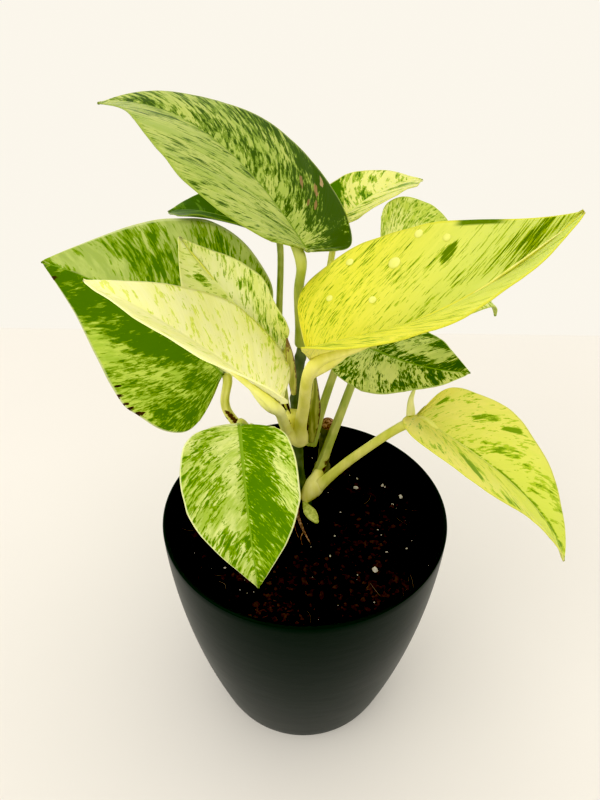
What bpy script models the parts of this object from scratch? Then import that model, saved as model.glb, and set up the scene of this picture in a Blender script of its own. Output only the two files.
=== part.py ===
"""Potted marble pothos: three rooted stems and eleven leaves in a plain plastic pot.

The scene is in metres, +Z up, with the origin at the middle of the pot's underside and +Y to the back.
Values are given in millimetres and degrees, because the pieces are small, and MM turns them to metres.
The plant's own heights are measured from the potting mix's surface, so the plant moves with the pot's height.
"""

import math
from collections import namedtuple

import bmesh
import bpy
from mathutils import Matrix, Vector

MM = 0.001

# Pot: a turned shell whose side curves in towards a flat base.
POT_HEIGHT = 100.0
POT_RIM_RADIUS = 55.0
POT_BASE_RADIUS = 39.0
POT_CURVE = 1.8
POT_WALL = 1.8
POT_FLOOR = 2.4
POT_SIDES = 48
POT_RINGS = 12
DRAIN_HOLES = 4
DRAIN_HOLE_RADIUS = 4.0
DRAIN_RING_RADIUS = 24.0

# What touches keeps a clearance. The mix keeps more to the pot, whose facets and its own don't line up.
CLEARANCE = 0.3
SIDE_CLEARANCE = 0.6

# Potting mix: it fills the pot up to this far below the rim.
SOIL_DROP = 12.0
SOIL_SIDES = 48
SOIL_RINGS = 5

# Stems, leaf stalks and blades.
MAIN_STEM_RADIUS = 2.2
BACK_STEM_RADIUS = 2.0
CUT_STEM_RADIUS = 3.2
STEM_TAPER = 0.8
POCKET_HEADROOM = 6.0
TUBE_SIDES = 10
TUBE_STEPS = 12
BLADE_THICKNESS = 0.7
BLADE_STATIONS = 14
BLADE_ROWS = 4
MIDRIB_STEPS = 24
STALK_OVERLAP = 4.0
STALK_TIP_SHARE = 0.6

# A blade's heart shape. The edge runs from the sinus over a lobe to the tip, and the powers place its bulge.
LOBE_END = 0.35
EDGE_PACE = 1.15
BULGE_PLACE = 0.678
BULGE_FULLNESS = 0.85
TIP_TAPER = 0.25
TIP_TAPER_POWER = 6
# A side vein leaves the midrib low down, bows outwards and meets the edge nearer the tip.
VEIN_ROOT_POWER = 2
VEIN_BOW_ALONG = 0.35
VEIN_BOW_ACROSS = 0.55

# Stem routes: x and y of the axis, and its height over the potting mix, from the bottom up.
MAIN_STEM = [(3, 14, -25), (1, 14, 0), (-2, 15, 15), (-3, 14, 32), (-4, 14, 54), (-2, 17, 73)]
BACK_STEM = [(-2, 29, -25), (-3, 28, 0), (-3, 26, 20), (-4, 25, 40)]
CUT_STEM = [(7, 31, -25), (7, 30, 0), (8, 27, 18), (9, 25, 34)]

# Sheaths, a bud and a root, in the same way: each starts where it grows from.
NEW_LEAF_SHEATH = [(2, 11, 36), (3, 10, 52), (3, 9, 68)]
OLD_LEAF_SHEATH = [(-3, 8, 62), (-4, 7, 74), (-5, 6, 84)]
SIDE_BUD = [(0, 10, 3), (3, 6, 3), (5, 2, 3)]
AIR_ROOT = [(-3, 11, 6), (-3, 5, 3), (-1, -2, 2), (2, -9, 2)]

# A leaf is a blade on its stalk. `base` is where they meet, `start` the stalk's foot, and `via` its middle.
# Heading, pitch and roll aim the blade. Curl bends it down, twist turns it and sweep bends it sideways,
# each as the total from base to tip. Fold lifts a half up at the midrib, and cup bends the half across.
Leaf = namedtuple(
    "Leaf",
    "base start via foot neck heading pitch roll length width lobe "
    "curl fold_left fold_right cup twist sweep colour",
)

LEAVES = {
    "leaf_right_long": Leaf(
        base=(1, -12, 87), start=(-2, 9, 32), via=(-1, 2, 56), foot=2.4, neck=1.9,
        heading=5, pitch=19, roll=12, length=87, width=67, lobe=0.08,
        curl=-40, fold_left=50, fold_right=41, cup=-30, twist=33, sweep=-6,
        colour=(0.72, 0.74, 0.08),
    ),
    "leaf_left_cream": Leaf(
        base=(-8, -15, 73), start=(-8, 12, 34), via=(-8, 1, 52), foot=2.2, neck=1.8,
        heading=167, pitch=34, roll=-22, length=71, width=52, lobe=0.08,
        curl=14, fold_left=18, fold_right=17, cup=6, twist=-23, sweep=-2,
        colour=(0.80, 0.83, 0.35),
    ),
    "leaf_front_heart": Leaf(
        base=(-21, -20, 67), start=(-5, 11, 10), via=(-15, -2, 42), foot=1.9, neck=1.5,
        heading=-81, pitch=-67, roll=-9, length=58, width=42, lobe=0.08,
        curl=6, fold_left=20, fold_right=21, cup=18, twist=3, sweep=4,
        colour=(0.36, 0.56, 0.10),
    ),
    "leaf_left_broad": Leaf(
        base=(-31, 15, 63), start=(-6, 18, 14), via=(-29, 19, 40), foot=2.0, neck=1.6,
        heading=138, pitch=22, roll=71, length=102, width=86, lobe=0.08,
        curl=-8, fold_left=-12, fold_right=-27, cup=19, twist=11, sweep=25,
        colour=(0.14, 0.36, 0.04),
    ),
    "leaf_middle_small": Leaf(
        base=(-9, 14, 74), start=(-9, 16, 50), via=(-10, 15, 63), foot=1.8, neck=1.4,
        heading=150, pitch=30, roll=80, length=53, width=41, lobe=0.08,
        curl=-40, fold_left=16, fold_right=30, cup=7, twist=31, sweep=-22,
        colour=(0.66, 0.76, 0.30),
    ),
    "leaf_top": Leaf(
        base=(0, 12, 112), start=(-2, 18, 75), via=(-3, 19, 94), foot=2.0, neck=1.7,
        heading=129, pitch=35, roll=-30, length=97, width=71, lobe=0.08,
        curl=51, fold_left=5, fold_right=16, cup=-12, twist=-18, sweep=25,
        colour=(0.25, 0.45, 0.09),
    ),
    "leaf_back_right": Leaf(
        base=(10, 53, 107), start=(0, 26, 34), via=(5, 37, 70), foot=1.6, neck=1.1,
        heading=40, pitch=22, roll=11, length=48, width=38, lobe=0.08,
        curl=35, fold_left=10, fold_right=10, cup=11, twist=14, sweep=1,
        colour=(0.62, 0.74, 0.24),
    ),
    "leaf_back_hooked": Leaf(
        base=(26, 36, 100), start=(2, 22, 26), via=(10, 27, 55), foot=1.6, neck=1.2,
        heading=17, pitch=-7, roll=-49, length=63, width=48, lobe=0.08,
        curl=55, fold_left=20, fold_right=-4, cup=-11, twist=-53, sweep=-19,
        colour=(0.48, 0.64, 0.22),
    ),
    "leaf_right_small": Leaf(
        base=(21, 21, 73), start=(4, 16, 9), via=(12, 17, 40), foot=2.0, neck=1.5,
        heading=-58, pitch=8, roll=-18, length=48, width=34, lobe=0.20,
        curl=-11, fold_left=1, fold_right=0, cup=-10, twist=8, sweep=15,
        colour=(0.20, 0.42, 0.08),
    ),
    "leaf_right_drooping": Leaf(
        base=(38, -4, 60), start=(5, 11, 5), via=(19, 7, 32), foot=2.2, neck=1.7,
        heading=-37, pitch=-13, roll=11, length=71, width=55, lobe=0.08,
        curl=50, fold_left=20, fold_right=22, cup=-9, twist=1, sweep=13,
        colour=(0.70, 0.74, 0.12),
    ),
    "leaf_back_left": Leaf(
        base=(-11, 55, 101), start=(-8, 27, 30), via=(-11, 36, 66), foot=1.5, neck=1.1,
        heading=146, pitch=6, roll=-4, length=62, width=45, lobe=0.08,
        curl=25, fold_left=19, fold_right=19, cup=8, twist=-21, sweep=-1,
        colour=(0.08, 0.26, 0.04),
    ),
}

def pot_outer_radius(height):
    """Outer radius of the pot at a height: steep at the rim, and curving in to the base."""
    share = 1 - (1 - height / POT_HEIGHT) ** POT_CURVE
    return POT_BASE_RADIUS + (POT_RIM_RADIUS - POT_BASE_RADIUS) * share


def pot_inner_radius(height):
    return pot_outer_radius(height) - POT_WALL


def soil_level():
    return POT_HEIGHT - SOIL_DROP


def over_soil(point):
    """A plant point in the scene: its height is measured from the potting mix."""
    return Vector((point[0], point[1], point[2] + soil_level())) * MM


def clear_scene():
    for obj in list(bpy.data.objects):
        bpy.data.objects.remove(obj)


def plain_material(name, colour, roughness, metallic=0.0):
    material = bpy.data.materials.new(name)
    material.use_nodes = True
    shader = material.node_tree.nodes["Principled BSDF"]
    shader.inputs["Base Color"].default_value = (*colour, 1.0)
    shader.inputs["Roughness"].default_value = roughness
    shader.inputs["Metallic"].default_value = metallic
    return material


def add_object(name, mesh_builder, material=None):
    """A new object from a bmesh, shaded smooth up to 40 degrees."""
    bmesh.ops.recalc_face_normals(mesh_builder, faces=mesh_builder.faces)
    mesh = bpy.data.meshes.new(name)
    mesh_builder.to_mesh(mesh)
    mesh_builder.free()
    mesh.shade_smooth()
    mesh.set_sharp_from_angle(angle=math.radians(40))
    obj = bpy.data.objects.new(name, mesh)
    bpy.context.scene.collection.objects.link(obj)
    if material:
        mesh.materials.append(material)
    return obj


def as_helper(obj):
    """A cutter or a joined shape isn't a piece of its own."""
    obj.hide_render = True
    obj.display_type = "WIRE"
    return obj


def add_boolean(obj, other, operation):
    modifier = obj.modifiers.new(operation.title(), "BOOLEAN")
    modifier.operation = operation
    modifier.object = other
    modifier.solver = "EXACT"


def turned(profile, sides):
    """A solid of revolution about Z, from (radius, height) points that start and end on the axis."""
    builder = bmesh.new()
    rings = []
    for radius, height in profile:
        if radius == 0:
            rings.append([builder.verts.new((0, 0, height * MM))])
            continue
        turns = [math.tau * i / sides for i in range(sides)]
        points = [(radius * math.cos(a) * MM, radius * math.sin(a) * MM, height * MM) for a in turns]
        rings.append([builder.verts.new(p) for p in points])
    for lower, upper in zip(rings, rings[1:]):
        for i in range(sides):
            ring = [lower[i % len(lower)], lower[(i + 1) % len(lower)]]
            ring += [upper[(i + 1) % len(upper)], upper[i % len(upper)]]
            builder.faces.new(list(dict.fromkeys(ring)))
    return builder


def smooth_route(points, steps):
    """Points read from a Catmull-Rom curve through the route's own points."""
    ends = [points[0] * 2 - points[1], *points, points[-1] * 2 - points[-2]]
    route = []
    for a, b, c, d in zip(ends, ends[1:], ends[2:], ends[3:]):
        for i in range(steps):
            t = i / steps
            bend = (a * 2 - b * 5 + c * 4 - d) * t * t + (b * 3 - a - c * 3 + d) * t**3
            route.append((b * 2 + (c - a) * t + bend) / 2)
    return [*route, points[-1]]


def tube(points, radii, sides=TUBE_SIDES, flat=1.0):
    """A closed tube along points in metres. `flat` narrows its section across."""
    builder = bmesh.new()
    rings = []
    across = None
    for i, point in enumerate(points):
        along = (points[min(i + 1, len(points) - 1)] - points[max(i - 1, 0)]).normalized()
        if across is None:
            across = along.cross(Vector((0, 1, 0))).normalized()
        across = (across - along * across.dot(along)).normalized()
        other = along.cross(across) * flat
        ring = []
        for k in range(sides):
            turn = math.tau * k / sides
            offset = across * math.cos(turn) + other * math.sin(turn)
            ring.append(builder.verts.new(point + offset * radii[i] * MM))
        rings.append(ring)
    builder.faces.new(rings[0])
    builder.faces.new(rings[-1][::-1])
    for lower, upper in zip(rings, rings[1:]):
        for k in range(sides):
            nxt = (k + 1) % sides
            builder.faces.new((lower[k], lower[nxt], upper[nxt], upper[k]))
    return builder


def tapered(start, end, count):
    return [start + (end - start) * i / (count - 1) for i in range(count)]


def midrib_frames(leaf):
    """Points along the midrib with their side and upward directions, and the midrib's first direction."""
    heading, pitch, roll = (math.radians(angle) for angle in (leaf.heading, leaf.pitch, leaf.roll))
    flat = Vector((math.cos(heading), math.sin(heading), 0))
    along = flat * math.cos(pitch) + Vector((0, 0, math.sin(pitch)))
    side = Vector((math.sin(heading), -math.cos(heading), 0))
    side.rotate(Matrix.Rotation(-roll, 3, along))
    up = side.cross(along)
    step = leaf.length / MIDRIB_STEPS
    point = Vector(leaf.base)
    frames = [(point.copy(), side.copy(), up.copy())]
    first = along.copy()
    for i in range(MIDRIB_STEPS):
        towards_tip = 2 * (i + 0.5) / MIDRIB_STEPS
        bend = Matrix.Rotation(-math.radians(leaf.curl) * towards_tip / MIDRIB_STEPS, 3, side)
        along.rotate(bend)
        up.rotate(bend)
        swing = Matrix.Rotation(math.radians(leaf.sweep) / MIDRIB_STEPS, 3, up)
        along.rotate(swing)
        side.rotate(swing)
        turn = Matrix.Rotation(math.radians(leaf.twist) / MIDRIB_STEPS, 3, along)
        side.rotate(turn)
        up.rotate(turn)
        point = point + along * step
        frames.append((point.copy(), side.copy(), up.copy()))
    return frames, first


def margin(leaf, share):
    """Where the blade's edge is, as distances along and across the midrib, from sinus to tip."""
    lobe = leaf.lobe * math.sin(math.pi * min(share / LOBE_END, 1))
    bulge = max(math.sin(math.pi * share**BULGE_PLACE), 0) ** BULGE_FULLNESS
    across = bulge * (1 - TIP_TAPER * share**TIP_TAPER_POWER)
    return leaf.length * (share**EDGE_PACE - lobe), leaf.width / 2 * across


def blade_point(leaf, frames, first, share, out, hand):
    """A point of the blade's middle surface: `share` from sinus to tip, `out` from midrib to edge."""
    rib = leaf.length * share**VEIN_ROOT_POWER
    edge_x, edge_y = margin(leaf, share)
    bow_x = rib + VEIN_BOW_ALONG * (edge_x - rib)
    bow_y = VEIN_BOW_ACROSS * edge_y
    x = (1 - out) ** 2 * rib + 2 * out * (1 - out) * bow_x + out**2 * edge_x
    y = 2 * out * (1 - out) * bow_y + out**2 * edge_y
    place = min(max(x / leaf.length, 0), 1) * MIDRIB_STEPS
    index = min(int(place), MIDRIB_STEPS - 1)
    rest = place - index
    point, side, up = (a.lerp(b, rest) for a, b in zip(frames[index], frames[index + 1]))
    point = point + first * min(x, 0)
    fold = math.radians(leaf.fold_right if hand > 0 else leaf.fold_left)
    cup = math.radians(leaf.cup)
    reach = leaf.width / 2 / cup
    bent = fold + cup * y / (leaf.width / 2)
    outward = reach * (math.sin(bent) - math.sin(fold))
    lifted = reach * (math.cos(fold) - math.cos(bent))
    return point + side * hand * outward + up * lifted


def blade_surface(leaf):
    """The blade as an open sheet of quads, with a triangle fan at the sinus and at the tip."""
    frames, first = midrib_frames(leaf)
    builder = bmesh.new()
    columns = [(-1, j / BLADE_ROWS) for j in range(BLADE_ROWS, 0, -1)]
    columns += [(1, j / BLADE_ROWS) for j in range(BLADE_ROWS + 1)]
    rows = []
    for i in range(BLADE_STATIONS + 1):
        share = i / BLADE_STATIONS
        if i in (0, BLADE_STATIONS):
            points = [blade_point(leaf, frames, first, share, 0, 1)]
        else:
            points = [blade_point(leaf, frames, first, share, out, hand) for hand, out in columns]
        rows.append([builder.verts.new(over_soil(point)) for point in points])
    for near, far in zip(rows, rows[1:]):
        for k in range(len(columns) - 1):
            corners = [near[min(k, len(near) - 1)], near[min(k + 1, len(near) - 1)]]
            corners += [far[min(k + 1, len(far) - 1)], far[min(k, len(far) - 1)]]
            builder.faces.new(list(dict.fromkeys(corners)))
    return builder, first


def add_leaf(name, leaf):
    """A blade of even thickness, joined to the stalk that runs on under its midrib."""
    sheet, first = blade_surface(leaf)
    blade = add_object(name, sheet, plain_material(name, leaf.colour, 0.4))
    thick = blade.modifiers.new("Thickness", "SOLIDIFY")
    thick.thickness = BLADE_THICKNESS * MM
    thick.offset = 0
    route = smooth_route([over_soil(p) for p in (leaf.start, leaf.via, leaf.base)], TUBE_STEPS // 2)
    route.append(over_soil(Vector(leaf.base) + first * STALK_OVERLAP))
    radii = tapered(leaf.foot, leaf.neck, len(route) - 1)
    radii.append(leaf.neck * STALK_TIP_SHARE)
    stalk = as_helper(add_object(name + "_stalk", tube(route, radii)))
    add_boolean(blade, stalk, "UNION")
    return blade


def add_pot():
    """The turned shell, with round drain holes bored through its floor."""
    heights = [POT_HEIGHT * i / POT_RINGS for i in range(POT_RINGS + 1)]
    inner = [z for z in heights if z > POT_FLOOR + POT_WALL]
    profile = [(0, 0)]
    profile += [(pot_outer_radius(z), z) for z in heights]
    profile += [(pot_inner_radius(z), z) for z in reversed(inner)]
    profile += [(pot_inner_radius(POT_FLOOR), POT_FLOOR), (0, POT_FLOOR)]
    pot = add_object("pot", turned(profile, POT_SIDES), plain_material("pot", (0.006, 0.006, 0.006), 0.3))
    holes = bmesh.new()
    for i in range(DRAIN_HOLES):
        turn = math.tau * (i + 0.5) / DRAIN_HOLES
        centre = Vector((math.cos(turn), math.sin(turn), 0)) * DRAIN_RING_RADIUS * MM
        bmesh.ops.create_cone(
            holes, cap_ends=True, segments=24, radius1=DRAIN_HOLE_RADIUS * MM,
            radius2=DRAIN_HOLE_RADIUS * MM, depth=4 * POT_FLOOR * MM,
            matrix=Matrix.Translation(centre),
        )
    add_boolean(pot, as_helper(add_object("drain_hole_cutter", holes)), "DIFFERENCE")
    return pot


def add_soil():
    """The potting mix: it follows the pot's inner wall, a clearance away from it."""
    bottom = POT_FLOOR + CLEARANCE
    top = soil_level()
    heights = [bottom + (top - bottom) * i / SOIL_RINGS for i in range(SOIL_RINGS + 1)]
    profile = [(0, bottom)]
    flats = math.cos(math.pi / POT_SIDES)
    profile += [(pot_inner_radius(z) * flats - SIDE_CLEARANCE, z) for z in heights]
    profile += [(0, top)]
    return add_object("soil", turned(profile, SOIL_SIDES), plain_material("soil", (0.02, 0.012, 0.008), 0.95))


def add_stem(name, points, radius, taper, soil, colour):
    """A rooted stem, in a pocket of the potting mix that is a clearance wider and deeper."""
    route = smooth_route([over_soil(p) for p in points], 4)
    radii = tapered(radius, radius * taper, len(route))
    stem = add_object(name, tube(route, radii), plain_material(name, colour, 0.5))
    below = route[0] - (route[1] - route[0]).normalized() * CLEARANCE * MM
    pocket_route = [below, *[p for p in route if p.z < (soil_level() + POCKET_HEADROOM) * MM]]
    pocket_radii = [radius + CLEARANCE] * len(pocket_route)
    pocket = as_helper(add_object(name + "_pocket", tube(pocket_route, pocket_radii)))
    add_boolean(soil, pocket, "DIFFERENCE")
    return stem


def add_spindle(name, points, widest, flat, colour):
    """A bud, sheath or root: a tapered body, widest a third of the way along and pointed at its end."""
    route = smooth_route([over_soil(p) for p in points], 5)
    last = len(route) - 1
    radii = [widest * max(math.sin(math.pi * (0.12 + 0.85 * i / last)), 0.1) for i in range(last + 1)]
    return add_object(name, tube(route, radii, 8, flat), plain_material(name, colour, 0.5))


def build():
    clear_scene()
    add_pot()
    soil = add_soil()
    add_stem("main_stem", MAIN_STEM, MAIN_STEM_RADIUS, STEM_TAPER, soil, (0.05, 0.16, 0.02))
    add_stem("back_stem", BACK_STEM, BACK_STEM_RADIUS, STEM_TAPER, soil, (0.05, 0.16, 0.02))
    add_stem("cut_stem", CUT_STEM, CUT_STEM_RADIUS, 1, soil, (0.16, 0.20, 0.05))
    for name, leaf in LEAVES.items():
        add_leaf(name, leaf)
    add_spindle("new_leaf_sheath", NEW_LEAF_SHEATH, 2.2, 0.5, (0.40, 0.45, 0.12))
    add_spindle("old_leaf_sheath", OLD_LEAF_SHEATH, 1.8, 0.5, (0.28, 0.26, 0.08))
    add_spindle("side_bud", SIDE_BUD, 2.2, 1.0, (0.55, 0.65, 0.20))
    add_spindle("air_root", AIR_ROOT, 0.9, 1.0, (0.20, 0.11, 0.05))


build()
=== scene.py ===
"""The looks of a potted marble pothos: a plain black pot, its potting mix, three stems and eleven leaves."""
import math
import random

import bmesh
import bpy
import numpy as np
from mathutils import Matrix, Vector, noise


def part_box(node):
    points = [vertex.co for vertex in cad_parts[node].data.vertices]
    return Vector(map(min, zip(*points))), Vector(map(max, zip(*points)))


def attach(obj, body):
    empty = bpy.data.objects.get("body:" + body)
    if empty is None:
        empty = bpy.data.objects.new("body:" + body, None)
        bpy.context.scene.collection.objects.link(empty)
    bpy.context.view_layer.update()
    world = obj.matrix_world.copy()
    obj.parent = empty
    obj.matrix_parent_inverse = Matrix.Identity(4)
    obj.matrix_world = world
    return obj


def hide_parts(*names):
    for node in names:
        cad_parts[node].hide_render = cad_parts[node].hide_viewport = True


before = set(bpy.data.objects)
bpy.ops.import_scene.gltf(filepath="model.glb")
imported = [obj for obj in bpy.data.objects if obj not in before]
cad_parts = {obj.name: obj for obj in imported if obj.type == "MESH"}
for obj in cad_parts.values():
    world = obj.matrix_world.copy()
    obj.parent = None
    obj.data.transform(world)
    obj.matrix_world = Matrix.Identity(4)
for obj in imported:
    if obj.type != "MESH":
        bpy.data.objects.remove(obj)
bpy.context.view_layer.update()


# The studio. The plant stands on a plain pale table in soft daylight, which comes from all round and most
# of all from the upper left. The camera looks down on it from a little above its top leaf.
CAMERA_PLACE = (0.0, -0.1752, 0.2740)
CAMERA_DOWN = math.radians(35.13)
CAMERA_LEFT = math.radians(0.72)
CAMERA_ROLL = math.radians(0.39)
CAMERA_LENS = 27.9
VIEW_GAMMA = 0.88
VIEW_BLACK = (0.022, 0.022, 0.022)

camera_data = bpy.data.cameras.new("camera")
camera_data.lens = CAMERA_LENS
camera_data.clip_start = 0.01
camera = bpy.data.objects.new("camera", camera_data)
bpy.context.scene.collection.objects.link(camera)
camera.matrix_world = (
    Matrix.Translation(CAMERA_PLACE)
    @ Matrix.Rotation(CAMERA_LEFT, 4, "Z")
    @ Matrix.Rotation(math.pi / 2 - CAMERA_DOWN, 4, "X")
    @ Matrix.Rotation(CAMERA_ROLL, 4, "Z")
)
bpy.context.scene.camera = camera
view = bpy.context.scene.view_settings
view.view_transform = "Standard"
view.gamma = VIEW_GAMMA
view.use_curve_mapping = True
view.curve_mapping.black_level = VIEW_BLACK
view.curve_mapping.update()


class Value:
    """A number, colour or vector that varies over a surface. Arithmetic on it adds Math nodes."""

    def __init__(self, tree, socket):
        self.tree = tree
        self.socket = socket

    def node(self, kind, settings=None, inputs=None, output=0):
        """Adds a node: its settings are set first, then its inputs' values or links."""
        made = self.tree.nodes.new(kind)
        for name, setting in (settings or {}).items():
            setattr(made, name, setting)
        for name, value in (inputs or {}).items():
            if isinstance(value, Value):
                self.tree.links.new(value.socket, made.inputs[name])
            elif made.inputs[name].type == "RGBA":
                made.inputs[name].default_value = (*value, 1)
            else:
                made.inputs[name].default_value = value
        return Value(self.tree, made.outputs[output])

    def math(self, operation, first, second=0.0):
        """A Math node of these two, each a value or a number."""
        return self.node("ShaderNodeMath", {"operation": operation}, {0: first, 1: second})

    def __add__(self, other):
        return self.math("ADD", self, other)

    __radd__ = __add__

    def __sub__(self, other):
        return self.math("SUBTRACT", self, other)

    def __rsub__(self, other):
        return self.math("SUBTRACT", other, self)

    def __mul__(self, other):
        return self.math("MULTIPLY", self, other)

    __rmul__ = __mul__

    def __truediv__(self, other):
        return self.math("DIVIDE", self, other)

    def __rtruediv__(self, other):
        return self.math("DIVIDE", other, self)

    def __abs__(self):
        return self.math("ABSOLUTE", self)

    def step(self, low, high):
        """0 on low's side and 1 on high's, with a soft edge between. Low may be above high."""
        settings = {"interpolation_type": "SMOOTHSTEP"}
        inputs = {"Value": self, "From Min": low, "From Max": high}
        return self.node("ShaderNodeMapRange", settings, inputs)

    def blend(self, without, with_all):
        """A mix of two colours, with this value as the share of the second."""
        settings = {"data_type": "RGBA"}
        return self.node("ShaderNodeMix", settings, {0: self, 6: without, 7: with_all}, output=2)

    def noise(self, scale, detail=2.0, roughness=0.5, distortion=0.0):
        """Noise from 0 to 1 at this vector."""
        inputs = {"Vector": self, "Scale": scale, "Detail": detail}
        inputs.update({"Roughness": roughness, "Distortion": distortion})
        return self.node("ShaderNodeTexNoise", {}, inputs)

    def stretched(self, x, y, z):
        """This vector with each part scaled."""
        return self.node("ShaderNodeMapping", {}, {"Vector": self, "Scale": (x, y, z)})


def new_finish(name, roughness, constants=None):
    """A material with its Principled shader's constants set. Returns it, its shader and a first value."""
    material = bpy.data.materials.new(name)
    material.use_nodes = True
    shader = material.node_tree.nodes["Principled BSDF"]
    shader.inputs["Roughness"].default_value = roughness
    for label, value in (constants or {}).items():
        shader.inputs[label].default_value = value
    shader.inputs["Subsurface Radius"].default_value = (0.8, 0.78, 0.25)
    return material, shader, Value(material.node_tree, None)


def feed(shader, label, value):
    """Links a value to the shader's socket of this name."""
    value.tree.links.new(value.socket, shader.inputs[label])


def place_in(start):
    """Where a point of the surface is, in metres."""
    return start.node("ShaderNodeTexCoord", output=3)


def bump(height, strength, distance):
    """A normal that follows the height, with its distance in metres."""
    return height.node("ShaderNodeBump", {}, {"Height": height, "Strength": strength, "Distance": distance})


TABLE_LOW = (-1.6, -1.6, -0.03)
TABLE_HIGH = (1.6, 0.325, 0.0)
TABLE_ROUND = 0.004

bpy.ops.object.select_all(action="DESELECT")
bpy.ops.mesh.primitive_cube_add(size=1)
table = bpy.context.object
table.name = "table"
bpy.ops.object.mode_set(mode="EDIT")
spread = [high - low for low, high in zip(TABLE_LOW, TABLE_HIGH)]
middle = [(high + low) / 2 for low, high in zip(TABLE_LOW, TABLE_HIGH)]
bpy.ops.transform.resize(value=spread, center_override=(0, 0, 0))
bpy.ops.transform.translate(value=middle)
bpy.ops.mesh.bevel(offset=TABLE_ROUND, segments=3)
bpy.ops.object.mode_set(mode="OBJECT")
material, shader, start = new_finish("matt_white_table", 0.7, {"Emission Strength": 0.2})
grain = place_in(start).noise(6.0, 3.0)
feed(shader, "Base Color", grain.blend((0.62, 0.60, 0.57), (0.65, 0.63, 0.60)))
shader.inputs["Emission Color"].default_value = (0.9, 0.87, 0.80, 1)
table.data.materials.append(material)


def add_softbox(name, place, target, size, power, colour):
    """A square light that faces its target, with its size in metres and its power in watts."""
    data = bpy.data.lights.new(name, "AREA")
    data.size = size
    data.energy = power
    data.color = colour
    light = bpy.data.objects.new(name, data)
    bpy.context.scene.collection.objects.link(light)
    light.location = place
    light.rotation_euler = (Vector(target) - Vector(place)).to_track_quat("-Z", "Y").to_euler()


PLANT_MIDDLE = (0, 0, 0.14)
add_softbox("window", (-0.7, -0.5, 0.95), PLANT_MIDDLE, 0.8, 3.4, (1.0, 0.98, 0.94))
add_softbox("fill", (0.15, -1.0, 0.55), PLANT_MIDDLE, 0.9, 1.1, (1.0, 0.98, 0.95))
add_softbox("ceiling", (0.25, 0.25, 1.3), PLANT_MIDDLE, 1.2, 4.0, (1.0, 0.98, 0.95))
world = bpy.data.worlds.new("daylight")
world.use_nodes = True
world.node_tree.nodes["Background"].inputs["Color"].default_value = (0.972, 0.935, 0.855, 1)
world.node_tree.nodes["Background"].inputs["Strength"].default_value = 1.0
bpy.context.scene.world = world


# The pot. It is injection moulded in black plastic as one thin shell: a side that curves in to a flat
# base, a plain rounded rim, and four holes through the floor that let water out.
POT_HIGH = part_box("pot")[1]
POT_HEIGHT = POT_HIGH[2]
RIM_RADIUS = POT_HIGH[0]
BASE_RADIUS = 0.039
POT_CURVE = 1.8
POT_WALL = 0.0018
POT_FLOOR = 0.0024
RIM_ROUND = 0.0007
DRAIN_HOLES = 4
DRAIN_HOLE_RADIUS = 0.004
DRAIN_RING_RADIUS = 0.024
POT_SIDES = 144
POT_RINGS = 36
FOOT_STEPS = 4
RIM_STEPS = 8
POT_SHARP_EDGE = 35


def finish_piece(piece, name, material, node):
    """Names a piece, and gives it its material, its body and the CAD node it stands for.

    The material is None for a piece that has its own already.
    """
    piece.name = name
    piece.data.name = name
    if material:
        piece.data.materials.clear()
        piece.data.materials.append(material)
    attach(piece, "root")
    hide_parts(node)


def pot_radius(height):
    """The outside of the pot's side at this height."""
    share = 1 - max(1 - height / POT_HEIGHT, 0) ** POT_CURVE
    return BASE_RADIUS + (RIM_RADIUS - BASE_RADIUS) * share


def pot_profile():
    """Radius and height from the edge of the base, up the side, over the rim and down to the floor."""
    foot = [math.pi / 2 * i / FOOT_STEPS for i in range(FOOT_STEPS + 1)]
    points = [(BASE_RADIUS - RIM_ROUND * (1 - math.sin(a)), RIM_ROUND * (1 - math.cos(a))) for a in foot]
    top = POT_HEIGHT - RIM_ROUND
    heights = [RIM_ROUND + (top - RIM_ROUND) * i / POT_RINGS for i in range(1, POT_RINGS + 1)]
    points += [(pot_radius(z), z) for z in heights]
    turns = [math.pi * i / RIM_STEPS for i in range(1, RIM_STEPS)]
    middle = pot_radius(top) - POT_WALL / 2
    points += [(middle + POT_WALL / 2 * math.cos(a), top + RIM_ROUND * math.sin(a)) for a in turns]
    points += [(pot_radius(z) - POT_WALL, z) for z in reversed(heights) if z > POT_FLOOR]
    points.append((pot_radius(POT_FLOOR) - POT_WALL - RIM_ROUND, POT_FLOOR))
    return points


profile = pot_profile()
bpy.ops.object.select_all(action="DESELECT")
bpy.ops.mesh.primitive_circle_add(vertices=POT_SIDES, radius=profile[0][0], fill_type="NGON")
pot = bpy.context.object
bpy.ops.object.mode_set(mode="EDIT")
bpy.ops.mesh.select_all(action="SELECT")
for (radius, height), (next_radius, next_height) in zip(profile, profile[1:]):
    bpy.ops.mesh.extrude_region_move(TRANSFORM_OT_translate={"value": (0, 0, next_height - height)})
    grow = next_radius / radius
    bpy.ops.transform.resize(value=(grow, grow, 1), center_override=(0, 0, next_height))
bpy.ops.mesh.select_all(action="SELECT")
bpy.ops.mesh.normals_make_consistent(inside=False)
bpy.ops.object.mode_set(mode="OBJECT")
for i in range(DRAIN_HOLES):
    turn = math.tau * (i + 0.5) / DRAIN_HOLES
    centre = (DRAIN_RING_RADIUS * math.cos(turn), DRAIN_RING_RADIUS * math.sin(turn), 0)
    bpy.ops.object.select_all(action="DESELECT")
    bpy.ops.mesh.primitive_cylinder_add(
        vertices=32, radius=DRAIN_HOLE_RADIUS, depth=4 * POT_FLOOR, location=centre
    )
    drill = bpy.context.object
    bpy.context.view_layer.objects.active = pot
    hole = pot.modifiers.new("Drain hole", "BOOLEAN")
    hole.operation = "DIFFERENCE"
    hole.object = drill
    bpy.ops.object.modifier_apply(modifier=hole.name)
    bpy.data.objects.remove(drill)
bpy.ops.object.select_all(action="DESELECT")
pot.select_set(True)
bpy.ops.object.shade_smooth_by_angle(angle=math.radians(POT_SHARP_EDGE))

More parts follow.
